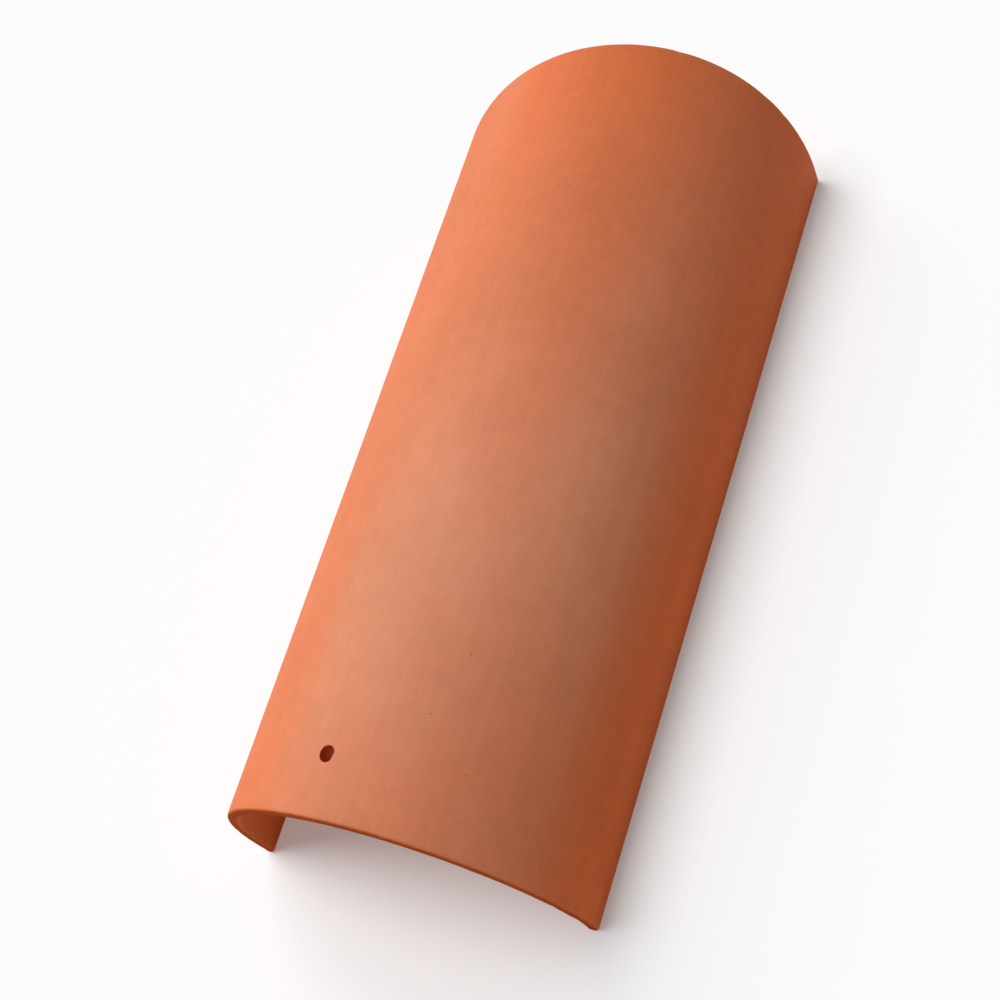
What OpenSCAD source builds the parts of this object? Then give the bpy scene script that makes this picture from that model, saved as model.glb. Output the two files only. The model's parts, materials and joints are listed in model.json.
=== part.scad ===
// Tapered half-round clay roof tile, also called a barrel tile: one fired piece.
// The tile lies on its two long feet with its hollow side down.
// X runs across it, Y along it from the narrow, nailed end to the wide end, and Z up.
// The origin is on the floor under the middle of the tile.

/* [Shell] */
// Length along Y, from end face to end face
tile_length = 400; // [250:5:600]
// Outside width across the feet at the narrow end
narrow_width = 156; // [110:1:210]
// Outside width across the feet at the wide end
wide_width = 214; // [160:1:320]
// Wall thickness at the crown
crown_wall = 5; // [4.8:0.1:8]
// Wall thickness at the feet
foot_wall = 4.5; // [3.6:0.1:4.7]

/* [Nail hole] */
// Diameter of the hole, which passes a roofing nail or a 5 mm screw
nail_hole_d = 5.5; // [4:0.5:8]
// Distance of the hole's centre from the narrow end face, along Y
nail_hole_inset = 22; // [12:1:60]

/* [Rounded arrises] */
// Radius round the outer and inner rim of both ends
rim_radius = 1.4; // [0.5:0.1:1.7]
// Radius along both edges of each foot
foot_radius = 1.4; // [0.5:0.1:1.7]

/* [Hidden] */

$fn = 120;
fired_clay = [0.80, 0.42, 0.27];

narrow_r = narrow_width / 2;
wide_r = wide_width / 2;
// The outside is half a cone on the floor line, and this is its half angle.
taper = atan((wide_r - narrow_r) / tile_length);
// The inside is a cone too. It sits lower than the outside by the difference of the two walls,
// so the wall thins evenly from the crown down to the feet.
inner_drop = crown_wall - foot_wall;
narrow_inner_r = narrow_r - foot_wall;
wide_inner_r = wide_r - foot_wall;

// How far a cutting shape runs past the surface that it cuts.
past = 5;
// How far a rounding arc stands proud of the faces that it joins.
arc_cross = 0.08;

// Half width of the inside at floor level, where the inner cone's radius is r.
function inner_foot(r) = sqrt(r * r - inner_drop * inner_drop);

// Unit vector at an angle.
function dir(angle) = [cos(angle), sin(angle)];

// Turns an outline of radius and length half way round the Y axis, over the top.
module half_turn() {
    rotate([-90, 0, 0])
        rotate([0, 0, 180])
            rotate_extrude(angle = 180)
                children();
}

// Flat outline of what is cut away when a corner at the origin is rounded to radius r.
// The material fills the corner between the directions at angles from and to, where to is larger.
// The arc stands proud of both faces by arc_cross, so that it cuts into them at a clear angle.
module corner_waste(from, to, r) {
    half = (to - from) / 2;
    reach = r - arc_cross;
    along_face = reach / tan(half);
    centre = dir(from + half) * reach / sin(half);
    difference() {
        polygon([centre, dir(to) * along_face + dir(to + 90) * past,
                 -centre * past / reach, dir(from) * along_face + dir(from - 90) * past]);
        translate(centre)
            circle(r = r, $fn = 48);
    }
}

// Half outline of the outside, turned about the Y axis to make it. X is the radius.
module outer_outline() {
    difference() {
        polygon([[0, 0], [narrow_r, 0], [wide_r, tile_length], [0, tile_length]]);
        translate([narrow_r, 0])
            corner_waste(90 - taper, 180, rim_radius);
        translate([wide_r, tile_length])
            corner_waste(180, 270 - taper, rim_radius);
    }
}

// Half outline of the hollow, which runs past both ends and widens round each rim.
module inner_outline() {
    grow = past * tan(taper);
    polygon([[0, -past], [narrow_inner_r - grow, -past],
             [wide_inner_r + grow, tile_length + past], [0, tile_length + past]]);
    translate([narrow_inner_r, 0])
        corner_waste(0, 90 - taper, rim_radius);
    translate([wide_inner_r, tile_length])
        corner_waste(-90 - taper, 0, rim_radius);
}

// Bar cut away along one bottom edge of the right foot, which runs from x_start to x_end.
// The clay lies between the directions at angles from and to, seen from the narrow end.
module foot_waste(x_start, x_end, from, to) {
    lean = atan((x_end - x_start) / tile_length);
    translate([x_end, tile_length, 0])
        rotate([90, 0, -lean])
            translate([0, 0, -past])
                linear_extrude(height = tile_length / cos(lean) + 2 * past)
                    corner_waste(from, to, foot_radius);
}

// Both bottom edges of the right foot.
module right_foot_wastes() {
    inner_lean = asin(inner_drop / narrow_inner_r);
    foot_waste(narrow_r, wide_r, 90, 180);
    foot_waste(inner_foot(narrow_inner_r), inner_foot(wide_inner_r), 0, 90 + inner_lean);
}

// The outside of the tile, as one solid block that stands flat on the floor.
module outer_block() {
    half_turn()
        outer_outline();
}

// The hollow, as the solid that is cut out of the block. Its flat side is below the floor.
module hollow() {
    translate([0, 0, -inner_drop])
        half_turn()
            inner_outline();
}

// The nail hole, square to the crown.
module nail_hole() {
    crown_z = narrow_r + nail_hole_inset * tan(taper);
    translate([0, nail_hole_inset, crown_z])
        rotate([taper, 0, 0])
            translate([0, 0, -crown_wall - past])
                cylinder(h = crown_wall + 2 * past, d = nail_hole_d);
}

// The whole tile.
module tile() {
    color(fired_clay)
        translate([0, -tile_length / 2, 0])
            difference() {
                outer_block();
                hollow();
                right_foot_wastes();
                mirror([1, 0, 0])
                    right_foot_wastes();
                nail_hole();
            }
}

tile();
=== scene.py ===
# %% [markdown]
# # A clay roof tile
# A half-round roof tile is one piece of clay. It is pressed or pulled over a tapered former, its ends
# are cut off square, one nail hole is pushed through the crown near the narrow end, and it is dried and
# fired to a dull orange. There is no glaze. What the eye reads is the plain shape, the soft arrises and
# the fine grain of the clay, so this lesson spends its work on those three.

# %% Load the frame
import json
import math

import bmesh
import bpy
import numpy as np
from mathutils import Euler, Matrix, Vector, noise


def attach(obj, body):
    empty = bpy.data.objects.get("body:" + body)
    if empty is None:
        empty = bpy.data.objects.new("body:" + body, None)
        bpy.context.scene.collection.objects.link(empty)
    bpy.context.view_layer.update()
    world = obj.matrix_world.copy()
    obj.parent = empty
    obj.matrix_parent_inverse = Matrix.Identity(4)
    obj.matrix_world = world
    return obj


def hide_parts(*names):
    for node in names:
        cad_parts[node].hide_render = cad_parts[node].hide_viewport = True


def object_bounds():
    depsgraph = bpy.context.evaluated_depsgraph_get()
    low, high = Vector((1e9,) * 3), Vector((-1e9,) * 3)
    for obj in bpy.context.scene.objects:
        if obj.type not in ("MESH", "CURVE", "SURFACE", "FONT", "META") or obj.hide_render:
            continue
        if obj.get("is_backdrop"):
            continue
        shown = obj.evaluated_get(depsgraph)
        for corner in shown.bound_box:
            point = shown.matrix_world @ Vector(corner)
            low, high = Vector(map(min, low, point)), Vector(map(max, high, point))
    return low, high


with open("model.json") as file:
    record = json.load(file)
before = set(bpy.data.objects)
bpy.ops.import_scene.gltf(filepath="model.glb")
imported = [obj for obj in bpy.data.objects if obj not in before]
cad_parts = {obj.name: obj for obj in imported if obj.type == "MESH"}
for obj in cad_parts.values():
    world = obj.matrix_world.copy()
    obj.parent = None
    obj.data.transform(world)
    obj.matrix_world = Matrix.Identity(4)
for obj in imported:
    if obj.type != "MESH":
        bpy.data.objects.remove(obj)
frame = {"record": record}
cad_low, cad_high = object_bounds()
scene = bpy.context.scene
print("tile box in mm:", [round(1000 * v, 1) for v in (cad_high - cad_low)])

# %% [markdown]
# ## Sizes
# Every size is in metres, in the frame's own axes: X across the tile, Y from the narrow end to the wide
# end and Z up from the floor. The overall length comes from the frame's box and the nail hole from its
# record. The rest are the tile's own sizes, as the frame was drawn to.

# %% Sizes of the tile
MM = 0.001
LENGTH = cad_high.y - cad_low.y
START = cad_low.y
NARROW_RADIUS = 78 * MM
WIDE_RADIUS = 107 * MM
CROWN_WALL = 5 * MM
FOOT_WALL = 4.5 * MM
RIM_ROUND = 1.4 * MM
FOOT_ROUND = 1.4 * MM
INNER_DROP = CROWN_WALL - FOOT_WALL
TAPER = math.atan((WIDE_RADIUS - NARROW_RADIUS) / LENGTH)

nail_hole = next(m for m in frame["record"]["mounts"] if m["name"] == "nail_hole")
HOLE_RADIUS = nail_hole["dims"]["r_mm"] * MM
HOLE_POINT = Vector(nail_hole["pos_m"])
HOLE_AXIS = Vector(nail_hole["axis"]).normalized()
print("taper", round(math.degrees(TAPER), 2), "degrees, hole", 2000 * HOLE_RADIUS, "mm across")

# %% [markdown]
# ## The camera
# The tile is seen from above its narrow end, a little from the right, with the picture turned so that the
# tile stands on its end. A camera in Blender looks along its own -Z. So it is tipped up from looking
# straight down, swung round the vertical, and last rolled about its own axis.

# %% Camera
CAMERA_AT = Vector((0.21353, -0.25388, 0.33161))
CAMERA_SWING = 44.698
CAMERA_DOWN = 44.509
CAMERA_ROLL = -35.194
CAMERA_LENS = 33.930

camera = bpy.data.objects.new("Camera", bpy.data.cameras.new("Camera"))
scene.collection.objects.link(camera)
camera.data.lens = CAMERA_LENS
camera.data.clip_start = 0.01
camera.location = CAMERA_AT
aim = Euler((math.radians(90 - CAMERA_DOWN), 0, math.radians(CAMERA_SWING))).to_matrix()
camera.rotation_mode = "QUATERNION"
camera.rotation_quaternion = (aim @ Matrix.Rotation(math.radians(CAMERA_ROLL), 3, "Z")).to_quaternion()
scene.camera = camera
print("camera", [round(v, 3) for v in camera.location], "lens", CAMERA_LENS)

# %% [markdown]
# ## The shell as a net of rings
# The wall could be a curve with a bevel, or a thin sheet with a Solidify modifier. Neither gives a wall
# that thins from the crown to the feet with a soft arris on every edge. So the mesh is written out: one
# closed ring goes from the crown down to the right foot, back under the crown and round by the left foot,
# and a row of such rings runs from end to end. Near the two ends each ring shrinks into the wall along a
# quarter circle, which rounds the rims. Rows of clean four-sided faces also take fine dents well.

# %% One ring across the wall
HALF_ARC = 90
CORNER_STEPS = 4
FLAT_STEPS = 4
MIN_CORNER = 0.2 * MM


def sweep(centre, radius, start, end, steps):
    """Points on an arc in the X-Z plane, all but its last one. Angles run from +Z towards +X."""
    angles = np.linspace(start, end, steps + 1)[:-1]
    return np.stack([centre[0] + radius * np.sin(angles), centre[1] + radius * np.cos(angles)], 1)


def ring(radius, inset):
    """One closed ring where the outside has this radius, drawn into the wall by inset."""
    outer, inner = radius - inset, radius - FOOT_WALL + inset
    corner = max(FOOT_ROUND - inset, MIN_CORNER)
    level = inset + corner
    outer_x = math.sqrt((outer - corner) ** 2 - level**2)
    inner_x = math.sqrt((inner + corner) ** 2 - (level + INNER_DROP) ** 2)
    outer_end = math.atan2(outer_x, level)
    inner_end = math.atan2(inner_x, level + INNER_DROP)
    right = np.concatenate([
        sweep((0, 0), outer, 0, outer_end, HALF_ARC),
        sweep((outer_x, level), corner, outer_end, math.pi, CORNER_STEPS),
        np.linspace((outer_x, inset), (inner_x, inset), FLAT_STEPS + 1)[:-1],
        sweep((inner_x, level), corner, math.pi, math.pi + inner_end, CORNER_STEPS),
        sweep((0, -INNER_DROP), inner, inner_end, 0, HALF_ARC),
        [(0, inner - INNER_DROP)],
    ])
    left = right[-2:0:-1] * (-1, 1)
    return np.concatenate([right, left])


RING = len(ring(NARROW_RADIUS, 0))
UNDER_CROWN = RING // 2
print("points in a ring:", RING)

# %% [markdown]
# The rings stand where the mesh needs them: close together on each rim's quarter circle, and elsewhere a
# little over two millimetres apart. A band round the nail hole keeps an even pitch of its own.

# %% Rings from end to end
RIM_STEPS = 5
PITCH = 2.2 * MM
HOLE_CELLS = 4
HOLE_PITCH = 1.75 * MM


def stations():
    """(position along Y, inset) of each ring, and the number of the first ring of the hole's band."""
    turn = np.linspace(0, math.pi / 2, RIM_STEPS + 1)
    rim = [(RIM_ROUND * (1 - math.cos(t)), RIM_ROUND * (1 - math.sin(t))) for t in turn]
    band = HOLE_POINT.y + HOLE_PITCH * np.arange(-HOLE_CELLS, HOLE_CELLS + 1)
    near, far = START + RIM_ROUND, START + LENGTH - RIM_ROUND
    before = np.linspace(near, band[0], round((band[0] - near) / PITCH) + 1)[1:-1]
    after = np.linspace(band[-1], far, round((far - band[-1]) / PITCH) + 1)[1:-1]
    rows = [(START + y, inset) for y, inset in rim]
    rows += [(y, 0) for y in (*before, *band, *after)]
    rows += [(START + LENGTH - y, inset) for y, inset in reversed(rim)]
    return rows, len(rim) + len(before)


def radius_at(y):
    """Outside radius at a place along the tile."""
    return NARROW_RADIUS + (y - START) * math.tan(TAPER)


rows, hole_row = stations()
points = []
for y, inset in rows:
    points += [(x, y, z) for x, z in ring(radius_at(y), inset)]
faces = []
hole_rows = range(hole_row, hole_row + 2 * HOLE_CELLS)
for r in range(len(rows) - 1):
    for c in range(RING):
        over = min(c, RING - 1 - c) < HOLE_CELLS
        under = abs(c + 0.5 - UNDER_CROWN) < HOLE_CELLS
        if r in hole_rows and (over or under):
            continue
        d = (c + 1) % RING
        faces.append((r * RING + c, r * RING + d, (r + 1) * RING + d, (r + 1) * RING + c))
print("rings:", len(rows), "faces so far:", len(faces))

# %% [markdown]
# ## The cut ends
# The ends are flat strips between the outer and inner rim. A single big face would be enough for a
# perfect cut, but clay cut with a wire is never quite flat. So each strip gets its own small grid, like a
# ladder with short rungs, whose last rung on each side is the row of points across the foot.

# %% Ladders across the two ends
LAST_RUNG = HALF_ARC + CORNER_STEPS


def cap(row):
    """Fills the end at this ring with a grid, and returns how many points that took."""
    first = row * RING
    before = len(points)
    rungs = []
    for j in range(-LAST_RUNG, LAST_RUNG + 1):
        outer, inner = j % RING, (UNDER_CROWN - j) % RING
        if abs(j) == LAST_RUNG:
            onward = 1 if j > 0 else -1
            rungs.append([first + (outer + onward * k) % RING for k in range(FLAT_STEPS + 1)])
            continue
        a, b = np.array(points[first + outer]), np.array(points[first + inner])
        rung = [first + outer]
        for k in range(1, FLAT_STEPS):
            rung.append(len(points))
            points.append(tuple(a + (b - a) * k / FLAT_STEPS))
        rungs.append(rung + [first + inner])
    for low, high in zip(rungs, rungs[1:]):
        for k in range(FLAT_STEPS):
            faces.append((low[k], high[k], high[k + 1], low[k + 1]))
    return len(points) - before


print("points inside the two cuts:", cap(0) + cap(len(rows) - 1))

# %% [markdown]
# ## The nail hole
# A Boolean would leave long thin faces round the hole, and they show as dark stars on a smooth curve. So
# the net was left open there, and rings of points now lead from the square opening to the round hole. The
# hole is pushed through soft clay from outside. That draws the edge down into a soft lip, and the clay that
# is pushed out stands round the hole on the inside as a low, uneven collar.

# %% Rings round the nail hole
LIP = 0.45 * MM
LIP_STEPS = 4
BURR = 0.5 * MM
COLLAR = 1.9 * MM
COLLAR_REACH = 5.5 * MM
COLLAR_UNEVEN = 0.5
COLLAR_WAVES = 1.3
SPREAD_STEPS = 8
BORE_STEPS = 4
SETTLE_ROUNDS = 8
ACROSS = Vector((1, 0, 0))
ALONG = HOLE_AXIS.cross(ACROSS)


def rest_on(side, u, v, depth):
    """The point at u, v across the hole's axis that lies this deep under the outside or the inside."""
    drop, thinner, into = (0, 0, -1) if side == "outside" else (INNER_DROP, FOOT_WALL, 1)
    height = 0.0
    for _ in range(SETTLE_ROUNDS):
        p = HOLE_POINT + u * ACROSS + v * ALONG + height * HOLE_AXIS
        wanted = radius_at(p.y) - thinner
        height += wanted - math.hypot(p.x, p.z + drop)
    return p + into * depth * HOLE_AXIS


def square_loop(middle):
    """The net's points round the opening, anticlockwise from outside, starting at a corner."""
    n = HOLE_CELLS
    side = range(-n, n)
    path = [(i, -n) for i in side] + [(n, j) for j in side]
    path += [(-i, n) for i in side] + [(-n, -j) for j in side]
    turn = 1 if middle == 0 else -1
    return [(hole_row + n + j) * RING + (middle + turn * i) % RING for i, j in path]


def circle(radius):
    """Places across the axis on a circle, in step with the square loop."""
    count = 8 * HOLE_CELLS
    angles = [2 * math.pi * k / count - 0.75 * math.pi for k in range(count)]
    return [(radius * math.cos(a), radius * math.sin(a)) for a in angles]


def stand(u, v):
    """How far the collar stands from the inside here. It is highest at the hole, and gone at its reach."""
    bearing = Vector((u, v, 0)).normalized()
    uneven = 1 + COLLAR_UNEVEN * noise.noise(COLLAR_WAVES * bearing)
    near = (COLLAR_REACH - math.hypot(u, v)) / (COLLAR_REACH - HOLE_RADIUS - BURR)
    near = min(1, max(0, near))
    return COLLAR * uneven * near * near * (3 - 2 * near)


def lead_in(side, loop, lip):
    """Rings from the square loop to the hole's wall on one side. Returns them, the square one first."""
    raised = 1 if side == "inside" else 0
    square = [(Vector(points[i]) - HOLE_POINT) for i in loop]
    square = [(p.dot(ACROSS), p.dot(ALONG)) for p in square]
    edge = circle(HOLE_RADIUS + lip)
    rings = [list(loop)]
    for k in range(1, SPREAD_STEPS + 1):
        t = k / (SPREAD_STEPS + 1)
        places = [(a + (c - a) * t, b + (d - b) * t) for (a, b), (c, d) in zip(square, edge)]
        rings.append(add_ring([rest_on(side, u, v, -raised * stand(u, v)) for u, v in places]))
    for k in range(LIP_STEPS + 1):
        a = math.pi / 2 * k / LIP_STEPS
        places = circle(HOLE_RADIUS + lip * (1 - math.sin(a)))
        depth = lip * (1 - math.cos(a))
        rings.append(add_ring([rest_on(side, u, v, depth - raised * stand(u, v)) for u, v in places]))
    return rings


def add_ring(places):
    """Adds points to the net and returns their numbers."""
    first = len(points)
    points.extend(tuple(p) for p in places)
    return list(range(first, len(points)))


outside = lead_in("outside", square_loop(0), LIP)
inside = lead_in("inside", square_loop(UNDER_CROWN), BURR)
wall = []
for k in range(1, BORE_STEPS):
    t = k / BORE_STEPS
    ends = zip(outside[-1], inside[-1])
    wall.append(add_ring([Vector(points[a]).lerp(Vector(points[b]), t) for a, b in ends]))
hole_rings = outside + wall + inside[::-1]
for low, high in zip(hole_rings, hole_rings[1:]):
    for k in range(len(low)):
        m = (k + 1) % len(low)
        faces.append((low[k], low[m], high[m], high[k]))
print("rings round the hole:", len(hole_rings))

# %% Make the mesh
used = sorted({i for face in faces for i in face})
number = {old: new for new, old in enumerate(used)}
mesh = bpy.data.meshes.new("clay_tile")
mesh.from_pydata([points[i] for i in used], [], [[number[i] for i in face] for face in faces])
tile = bpy.data.objects.new("clay_tile", mesh)
scene.collection.objects.link(tile)
mesh.validate()

work = bmesh.new()
work.from_mesh(mesh)
bmesh.ops.recalc_face_normals(work, faces=work.faces)
open_edges = sum(not e.is_manifold for e in work.edges)
work.to_mesh(mesh)
work.free()
mesh.shade_smooth()
print("points", len(mesh.vertices), "faces", len(mesh.polygons), "open edges", open_edges)

# %% [markdown]
# ## Where each point lies
# The relief and the clay's finish both need to know whether a point is outside or inside, on a cut end, on
# an arris or in the nail hole. Masks painted by hand would be lost at the first change of size. So they are
# worked out from the same radii as the shape, and stored as attributes that the material can read.

# %% Masks from the shape
places = np.array([v.co for v in mesh.vertices])
normals = np.array([v.vector for v in mesh.vertex_normals])
x, y, z = places.T
skin = NARROW_RADIUS + (y - START) * math.tan(TAPER)
below_outside = np.clip(skin - np.hypot(x, z), 0, None)
above_inside = np.clip(np.hypot(x, z + INNER_DROP) - (skin - FOOT_WALL), 0, None)
from_end = np.minimum(y - START, START + LENGTH - y)


def fade(distance, reach):
    """1 at no distance, falling smoothly to 0 at reach."""
    t = np.clip(1 - np.asarray(distance) / reach, 0, 1)
    return t * t * (3 - 2 * t)


arms = places - np.array(HOLE_POINT)
from_hole = np.linalg.norm(arms - np.outer(arms @ np.array(HOLE_AXIS), HOLE_AXIS), axis=1)
ARRIS_DEPTH, ARRIS_REACH = 2 * MM, 2.4 * MM
NEVER_ZERO = 1e-9
in_wall = np.minimum(below_outside, above_inside)
masks = {
    "inside": below_outside / (below_outside + above_inside + NEVER_ZERO),
    "cut": fade(from_end, 0.7 * RIM_ROUND),
    "bore": fade(from_hole - HOLE_RADIUS, LIP),
    "arris": fade(in_wall, ARRIS_DEPTH) * fade(np.minimum(from_end, z), ARRIS_REACH),
}
for name, values in masks.items():
    layer = mesh.attributes.new(name, "FLOAT", "POINT")
    layer.data.foreach_set("value", values.astype(np.float32))
    print(name, "covers", round(100 * float(values.mean()), 1), "% of the points")

# %% [markdown]
# ## The relief of hand-worked clay
# No wall that was pressed by hand is a true cone. It has low swells as long as a palm, shorter ripples, and
# faint ridges along its length where it was smoothed over the former. These are real dents of a few tenths
# of a millimetre, so they are moved in the mesh itself. Every dent goes into the clay, and the feet stay
# flat, so the tile still fits its box and stands as before.

# %% Dents into the wall
SWELL, RIPPLE, RIDGE, SAND = 0.13 * MM, 0.045 * MM, 0.03 * MM, 0.05 * MM
SWELL_SIZE, RIPPLE_SIZE, SAND_SIZE = 85 * MM, 26 * MM, 7 * MM
RIDGE_WIDTH, RIDGE_LENGTH = 5 * MM, 140 * MM
INSIDE_APART = 3


def rough(vectors, seed):
    """Smooth noise between 0 and 1 at each of these places."""
    shift = Vector((seed * 7.3, seed * 3.1, seed * 5.7))
    return np.array([0.5 + 0.5 * noise.noise(Vector(v) + shift) for v in vectors])


around = np.arctan2(x, z)
unrolled = [around * skin / RIDGE_WIDTH, y / RIDGE_LENGTH, masks["inside"] * INSIDE_APART]
dent = 2 * SWELL * rough(places / SWELL_SIZE, 1)
dent += 2 * RIPPLE * rough(places / RIPPLE_SIZE, 2)
dent += 2 * RIDGE * rough(np.stack(unrolled, 1), 3)
dent += 2 * SAND * masks["inside"] * rough(places / SAND_SIZE, 4)
print("deepest dent in mm:", round(1000 * float(dent.max()), 3))

# %% [markdown]
# A few soft chips sit on the arrises, where tiles knock together in a stack. Each is a shallow bowl, a few
# millimetres across, at a place drawn from a fixed seed.

# %% Chips on the arrises
CHIPS = 16
CHIP_SIZES = (2.5, 4.5)
CHIP_DEPTHS = (0.08, 0.2)
CLEAR_OF_FLOOR = 6 * MM
random_places = np.random.default_rng(11)
edge_points = np.flatnonzero((masks["arris"] > 0.8) & (z > CLEAR_OF_FLOOR))
for centre in random_places.choice(edge_points, CHIPS, replace=False):
    size = random_places.uniform(*CHIP_SIZES) * MM
    depth = random_places.uniform(*CHIP_DEPTHS) * MM
    away = np.linalg.norm(places - places[centre], axis=1)
    dent += depth * fade(away, size)
print("chips:", CHIPS)

# %% Move the points
FLAT_FOOT, DENTS_FROM = 0.2 * MM, 3 * MM
dent *= 1 - fade(z - FLAT_FOOT, DENTS_FROM)
places -= normals * dent[:, None]
mesh.vertices.foreach_set("co", places.ravel())
mesh.update()
print("mean dent in mm:", round(1000 * float(dent.mean()), 3))

# %% Ride the frame
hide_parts("tile")
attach(tile, "root")

# %% [markdown]
# ## Shader maths as Python
# A clay finish is a sum of many faint layers, and a long chain of Math nodes is hard to read. So a small
# class holds one socket of the node tree. Sums written on it add the Math nodes, and one method adds any
# other node.


# %% The Wire class
class Wire:
    """One socket. Sums on wires add Math nodes, with plain numbers on either side."""

    tree = None

    def __init__(self, socket):
        self.socket = socket

    @classmethod
    def node(cls, kind, settings=None, sockets=None, output=0):
        """Adds a node: its settings first, such as a ramp's stops, then its sockets' values or links."""
        made = cls.tree.nodes.new(kind)
        for name, value in (settings or {}).items():
            if name == "stops":
                cls.set_stops(made.color_ramp.elements, value)
            else:
                setattr(made, name, value)
        for name, value in (sockets or {}).items():
            cls.feed(made.inputs[name], value)
        return cls(made.outputs[output])

    @classmethod
    def feed(cls, socket, value):
        """Links a wire to a socket, or sets the socket to a plain value."""
        if isinstance(value, Wire):
            cls.tree.links.new(value.socket, socket)
        else:
            socket.default_value = value

    @staticmethod
    def set_stops(elements, stops):
        """Gives a ramp these (position, level) stops in greys."""
        while len(elements) > 1:
            elements.remove(elements[-1])
        for number, (position, level) in enumerate(stops):
            stop = elements[0] if number == 0 else elements.new(position)
            stop.position = position
            stop.color = (level, level, level, 1)

    @classmethod
    def math(cls, operation, *values):
        """A Math node on one, two or three wires or numbers."""
        return cls.node("ShaderNodeMath", {"operation": operation}, dict(enumerate(values)))

    def __add__(self, other):
        return self.math("ADD", self, other)

    def __sub__(self, other):
        return self.math("SUBTRACT", self, other)

    def __rsub__(self, other):
        return self.math("SUBTRACT", other, self)

    def __mul__(self, other):
        return self.math("MULTIPLY", self, other)

    def __truediv__(self, other):
        return self.math("DIVIDE", self, other)

    def __rtruediv__(self, other):
        return self.math("DIVIDE", other, self)

    __radd__ = __add__
    __rmul__ = __mul__


OPERATORS = ("add", "radd", "sub", "rsub", "mul", "rmul", "truediv", "rtruediv")
print("operators ready:", [name for name in OPERATORS if f"__{name}__" in vars(Wire)])

# %% The clay's material and its places
clay = bpy.data.materials.new("fired_clay")
clay.use_nodes = True
Wire.tree = clay.node_tree
shader = clay.node_tree.nodes["Principled BSDF"]
OBJECT_PLACE, ATTRIBUTE_NUMBER = 3, 2
LENGTH_MM = LENGTH / MM
place = Wire.node("ShaderNodeTexCoord", output=OBJECT_PLACE)
place = Wire.node("ShaderNodeVectorMath", {"operation": "SCALE"}, {0: place, "Scale": 1 / MM})
across, along, height = (
    Wire.node("ShaderNodeSeparateXYZ", sockets={0: place}, output=part) for part in range(3)
)
turned = Wire.math("ARCTAN2", across, height)
inner, cut, arris, bore = (
    Wire.node("ShaderNodeAttribute", {"attribute_name": mask}, output=ATTRIBUTE_NUMBER)
    for mask in ("inside", "cut", "arris", "bore")
)
print("places in mm, and", len(clay.node_tree.nodes), "nodes so far")

# %% [markdown]
# Every pattern is sized in millimetres on the clay. A few helpers cover nearly all of them: soft noise of a
# given size, specks scattered a given distance apart, a smooth step from 0 to 1 between two values, and a
# ramp through a list of levels. Two more mix colours and shade them.


# %% Noise, specks and steps
NOISE_ROUGHNESS = 0.55
SPECK_WANDER, SPECK_CORE = 0.7, 0.55


def grain(size, detail=2.0, at=None, seed=0.0):
    """Noise of this size in mm, from 0 to 1 with 0.5 as its mean."""
    settings = {"noise_dimensions": "4D"}
    sockets = {"Vector": at or place, "W": seed, "Scale": 1 / size, "Detail": detail}
    sockets["Roughness"] = NOISE_ROUGHNESS
    return Wire.node("ShaderNodeTexNoise", settings, sockets)


def step(value, start, end):
    """0 before start and 1 after end, with a smooth rise between. Start may be the larger one."""
    settings = {"interpolation_type": "SMOOTHSTEP"}
    low, high = min(start, end), max(start, end)
    rise = Wire.node("ShaderNodeMapRange", settings, {"Value": value, "From Min": low, "From Max": high})
    return rise if start < end else 1 - rise


def turn_step(start, end):
    """A step between two angles round from the crown, in degrees. Those to the right are positive."""
    return step(turned, math.radians(start), math.radians(end))


def ramp(stops, at):
    """The level of a grey ramp at this place along it, from 0 to 1."""
    return Wire.node("ShaderNodeValToRGB", {"stops": stops}, {0: at})


def specks(spacing, radius, share, seed):
    """Round specks in a loose scatter: 1 in a speck. Only this share of the places has one."""
    moved = Wire.node("ShaderNodeVectorMath", {"operation": "ADD"}, {0: place, 1: (seed, 2 * seed, 3 * seed)})
    settings = {"feature": "F1", "distance": "EUCLIDEAN"}
    sockets = {"Vector": moved, "Scale": 1 / spacing, "Randomness": 1.0}
    near, colour = (Wire.node("ShaderNodeTexVoronoi", settings, sockets, output=k) for k in range(2))
    chance = Wire.node("ShaderNodeSeparateColor", sockets={0: colour})
    reach = radius / spacing
    ragged = near + SPECK_WANDER * reach * (grain(0.8 * radius, 1.0, seed=seed) - 0.5)
    return step(ragged, reach, SPECK_CORE * reach) * step(chance, share + 0.02, share - 0.02)


def tint(mask, base, other):
    """Colour base where the mask is 0 and colour other where it is 1."""
    colours = {0: mask, 6: base, 7: other}
    return Wire.node("ShaderNodeMix", {"data_type": "RGBA", "clamp_factor": True}, colours, output=2)


def shade(colour, factor):
    """A colour made lighter or darker by a wire that is 1 where nothing changes."""
    return Wire.node("ShaderNodeVectorMath", {"operation": "SCALE"}, {0: colour, "Scale": factor})


print("helpers ready")
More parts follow.
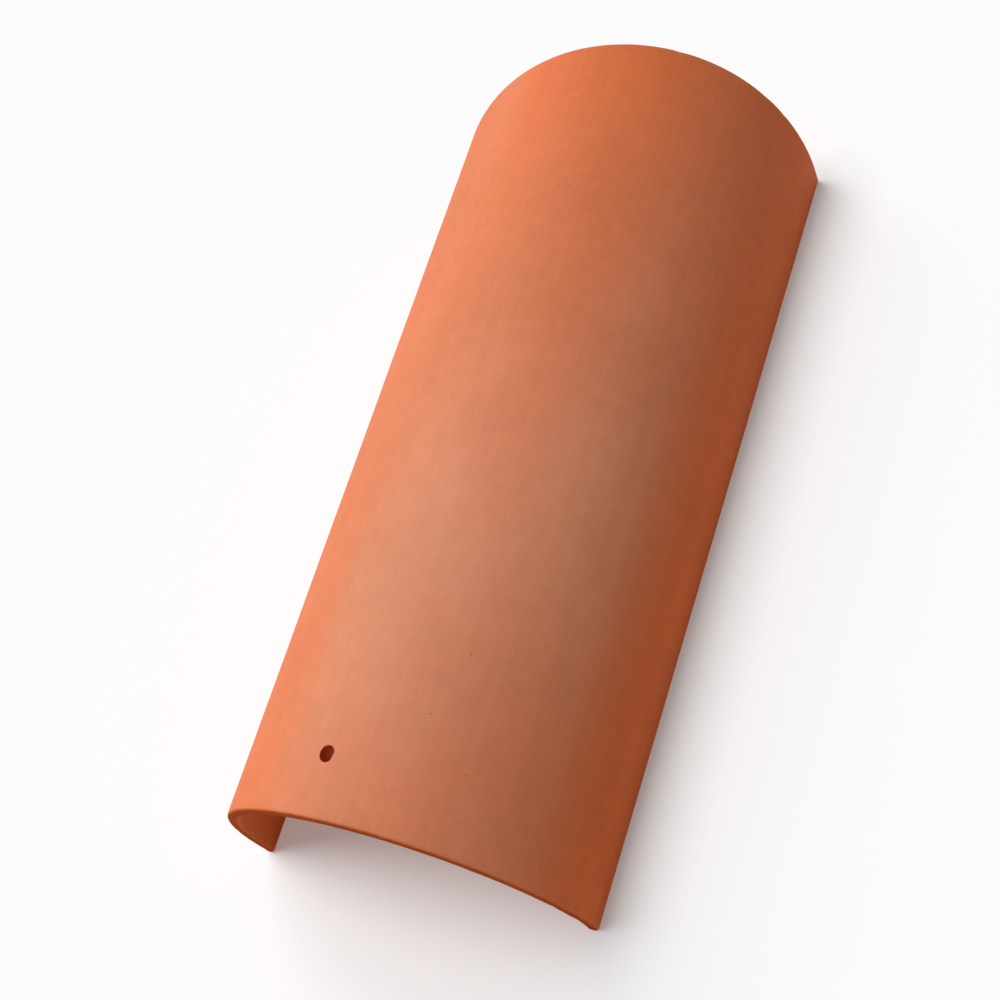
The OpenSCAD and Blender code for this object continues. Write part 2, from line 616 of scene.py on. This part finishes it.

# %% [markdown]
# ## The colour of the clay
# Iron in the clay turns it orange in the kiln. The tone drifts over the tile with the flame. A pale sheen of
# light is painted into the colour on the crown, strongest a hand's width from the narrow end and gone down
# the sides. The painted sheen is laid out by ramps along the tile and round it, then broken up with noise.
# The flame also leaves a darker patch low on the left side, and a painted highlight lightens the crown
# towards the wide end.

# %% Where the painted sheen lies
# Painted sheen: a pale highlight band painted into the colour, laid out along the tile, round it and on the
# lit left side.
PAINTED_SHEEN_ALONG = [(0.0, 0.68), (0.11, 0.9), (0.25, 1.0), (0.4, 0.8),
               (0.55, 0.58), (0.625, 0.48), (0.78, 0.34), (0.92, 0.2)]
PAINTED_SHEEN_ROUND = [(0.0, 0.1), (0.2, 0.55), (0.37, 1.0), (0.46, 0.95), (0.54, 1.0), (0.64, 0.87),
               (0.74, 0.88), (0.81, 0.72), (0.855, 0.3), (0.91, 0.0)]
LEFT_ALONG = [(0.0, 0.36), (0.1, 0.48), (0.3, 0.57), (0.7, 0.54), (1.0, 0.46)]
RIGHT_SHIFT = 45
PAINTED_SHEEN_ON_CUT = 0.2
down_the_right = RIGHT_SHIFT * turn_step(20, 45)
share_along = ramp(PAINTED_SHEEN_ALONG, (along - down_the_right) / LENGTH_MM + 0.5)
left_along = ramp(LEFT_ALONG, along / LENGTH_MM + 0.5)
share_round = ramp(PAINTED_SHEEN_ROUND, turned / math.pi + 0.5)
painted_sheen_along = left_along + turn_step(-24, -4) * (share_along - left_along)
kept_back = (1 - step(inner, 0.02, 0.3)) * (1 - (1 - PAINTED_SHEEN_ON_CUT) * cut)
broken_up = 0.73 + 0.36 * grain(38, 3.0, seed=1.0) + 0.18 * grain(8, 3.0, seed=1.5)
painted_sheen = painted_sheen_along * share_round * kept_back * broken_up
print("bloom laid out")

# %% The layers of colour
DEEP = (0.75, 0.157, 0.041, 1)
PAINTED_SHEEN_COLOUR = (0.768, 0.303, 0.172, 1)
# Darker than the outside clay: painted shade under the arch.
INSIDE_PAINTED_SHADE = (0.64, 0.143, 0.033, 1)
# Much darker than the clay: painted shade on the cut ends.
CUT_PAINTED_SHADE = (0.43, 0.062, 0.003, 1)
WORN = (0.76, 0.2, 0.06, 1)
# Darker than the clay: painted shade inside the nail hole.
BORE_PAINTED_SHADE = (0.6, 0.115, 0.031, 1)
IRON = (0.16, 0.035, 0.014, 1)
GROG = (0.80, 0.36, 0.20, 1)

MEAN_RADIUS, STREAK_LENGTH, INNER_APART = 92, 60, 9
streaks = {0: turned * MEAN_RADIUS, 1: along / STREAK_LENGTH, 2: inner * INNER_APART}
streaks = Wire.node("ShaderNodeCombineXYZ", sockets=streaks)
streak = grain(2.6, 2.0, at=streaks, seed=2.0)
cloud = grain(85, 2.0, seed=3.0)
mottle = grain(7, 3.0, seed=4.0)
fine = grain(0.55, 2.0, seed=5.0)
flash = step(cloud + 0.25 * (mottle - 0.5), 0.56, 0.68) * (1 - 0.85 * painted_sheen) * turn_step(-35, -62)
# A painted highlight on the crown towards the wide end, which lightens the tone there.
painted_highlight = turn_step(-30, -12) * turn_step(14, -4) * step(along, 0, 190)
iron = specks(7.5, 0.42, 0.3, 6.0)
grog = specks(4.6, 0.5, 0.26, 9.0)

# Where the painted sheen lies, the clay colour is mixed toward a pale colour.
colour = tint(painted_sheen, DEEP, PAINTED_SHEEN_COLOUR)
# The inside takes the darker colour: painted shade under the arch.
colour = tint(step(inner, 0.15, 0.85), colour, INSIDE_PAINTED_SHADE)
colour = tint(0.25 * arris * step(mottle, 0.35, 0.6), colour, WORN)
# The cut ends take the dark colour: painted shade on the end faces.
colour = tint(cut, colour, CUT_PAINTED_SHADE)
# The hole's wall takes the darker colour: painted shade in the bore.
colour = tint(bore, colour, BORE_PAINTED_SHADE)
colour = tint(0.32 * grog, colour, GROG)
colour = tint(0.55 * iron, colour, IRON)
TONES = [(0.2, cloud), (0.2, mottle), (0.16, fine), (0.1, streak)]
tone = sum((strength * (layer - 0.5) for strength, layer in TONES), start=1)
# Darker flame patches low on the left side, and the painted highlight lightening the crown towards the wide
# end.
tone = tone - 0.13 * flash * (0.7 + 0.6 * mottle) + 0.08 * painted_highlight
colour = shade(colour, tone)
Wire.feed(shader.inputs["Base Color"], colour)
print("colour layers done,", len(clay.node_tree.nodes), "nodes")

# %% [markdown]
# ## The feel of the clay
# Unglazed clay scatters light, so its roughness is high, and higher still on the painted sheen and where a
# fresh cut leaves open pores. The bump adds what is too fine for the mesh: grain, pin holes, sand on the
# inside that kept the clay off its former, drag lines along the wall and the wire's marks across the cut
# ends. The height is summed in millimetres, so each layer's depth can be read off. Clay this dull has almost
# no gloss, which matters most where the eye grazes the surface.

# %% Roughness and bump
pores = specks(3.1, 0.22, 0.3, 12.0)
sand = specks(1.5, 0.42, 0.75, 15.0)
WIRE_LENGTH, WIRE_SLOPE = 30, 0.12
wire_lines = {0: across / WIRE_LENGTH, 1: 0.0, 2: height + WIRE_SLOPE * across}
wire_lines = Wire.node("ShaderNodeCombineXYZ", sockets=wire_lines)
wire_mark = grain(0.8, 2.0, at=wire_lines, seed=7.0)
press = grain(2.2, 2.0, seed=8.0)
ROUGHER = [(0.1, painted_sheen), (0.3, cut), (0.1, inner), (0.12, mottle - 0.5), (-0.06, arris)]
roughness = sum((amount * layer for amount, layer in ROUGHER), start=0.6)
Wire.feed(shader.inputs["Roughness"], roughness)

HEIGHTS = [(0.035, fine), (0.05, press), (0.035, streak), (0.03, grog), (-0.09, pores), (-0.03, iron)]
relief = sum((millimetres * layer for millimetres, layer in HEIGHTS), start=0)
relief = relief + step(inner, 0.5, 1.0) * (0.06 * sand + 0.05 * fine)
relief = relief + cut * (0.09 * wire_mark + 0.04 * fine)
bump = Wire.node("ShaderNodeBump", sockets={"Strength": 1.0, "Distance": MM, "Height": relief})
Wire.feed(shader.inputs["Normal"], bump)
shader.inputs["Specular IOR Level"].default_value = 0.06
mesh.materials.append(clay)
print("finish done,", len(clay.node_tree.nodes), "nodes")

# %% [markdown]
# ## Floor and light
# The tile lies on a plain pale floor with a pale backdrop far behind it. The floor is a sheet that glows
# faintly, as white acrylic does over a lit table, so the shade under the tile stays soft. The backdrop is
# a tall ring that only the camera sees: it neither lights the tile nor shades it.


# %% Floor and backdrop
def plain_surface(name, tone, glow):
    """A plain matte material with an even glow of its own."""
    material = bpy.data.materials.new(name)
    material.use_nodes = True
    plain = material.node_tree.nodes["Principled BSDF"]
    plain.inputs["Base Color"].default_value = (tone, tone, tone, 1)
    plain.inputs["Specular IOR Level"].default_value = 0.0
    plain.inputs["Emission Color"].default_value = (1, 1, 1, 1)
    plain.inputs["Emission Strength"].default_value = glow
    return material


def stage_piece(name, corners, sides, material):
    """A plain piece of the stage."""
    sheet = bpy.data.meshes.new(name)
    sheet.from_pydata(corners, [], sides)
    sheet.materials.append(material)
    piece = bpy.data.objects.new(name, sheet)
    scene.collection.objects.link(piece)
    piece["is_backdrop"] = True
    return piece


STAGE_RADIUS = 12.0
STAGE_SIDES = 48
BACKDROP_HEIGHT = 16.0
FLOOR_TONE, FLOOR_GLOW = 0.78, 0.2
BACKDROP_GLOW = 0.966
turns = [2 * math.pi * k / STAGE_SIDES for k in range(STAGE_SIDES)]
rim = [(STAGE_RADIUS * math.sin(a), STAGE_RADIUS * math.cos(a)) for a in turns]
floor_edge = [(a, b, 0) for a, b in rim]
floor_look = plain_surface("floor", FLOOR_TONE, FLOOR_GLOW)
stage_piece("floor", floor_edge[::-1], [tuple(range(STAGE_SIDES))], floor_look)
backdrop_edges = floor_edge + [(a, b, BACKDROP_HEIGHT) for a, b in rim]
onward = [(k + 1) % STAGE_SIDES for k in range(STAGE_SIDES)]
panels = [(k, m, m + STAGE_SIDES, k + STAGE_SIDES) for k, m in enumerate(onward)]
backdrop_look = plain_surface("backdrop", 0.0, BACKDROP_GLOW)
backdrop = stage_piece("backdrop", backdrop_edges, panels, backdrop_look)
for rays in ("diffuse", "glossy", "transmission", "shadow", "volume_scatter"):
    setattr(backdrop, "visible_" + rays, False)
print("stage", 2 * STAGE_RADIUS, "m across")

# %% [markdown]
# Two broad soft lamps shine from the tile's left, a high one and a lower one nearer the wide end, and an
# even pale sky fills the shade. They are suns with a wide angle, which act as big soft boxes a long way off
# and light the whole floor evenly. The right side and the cut end lie in soft shade, which shows the round
# of the barrel.

# %% Lamps and sky
SKY = 0.135
LAMP_ANGLE = 36
LAMPS = [("high_lamp", 270, 64, 2.26), ("low_lamp", 315, 38, 1.04)]

scene.view_settings.view_transform = "Standard"
world = bpy.data.worlds.new("studio")
scene.world = world
world.use_nodes = True
world.node_tree.nodes["Background"].inputs["Color"].default_value = (1, 1, 1, 1)
world.node_tree.nodes["Background"].inputs["Strength"].default_value = SKY
for name, bearing, rise, strength in LAMPS:
    bearing, rise = math.radians(bearing), math.radians(rise)
    toward = Vector((math.sin(bearing) * math.cos(rise), math.cos(bearing) * math.cos(rise), math.sin(rise)))
    lamp = bpy.data.objects.new(name, bpy.data.lights.new(name, "SUN"))
    lamp.data.angle = math.radians(LAMP_ANGLE)
    lamp.data.energy = strength
    lamp.location = toward
    lamp.rotation_mode = "QUATERNION"
    lamp.rotation_quaternion = toward.to_track_quat("Z", "Y")
    lamp.visible_camera = False
    scene.collection.objects.link(lamp)
print("lamps:", [name for name, *_ in LAMPS])

# %% The visual box
low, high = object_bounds()
print("visual box in mm:", [round(1000 * v, 2) for v in (high - low)])
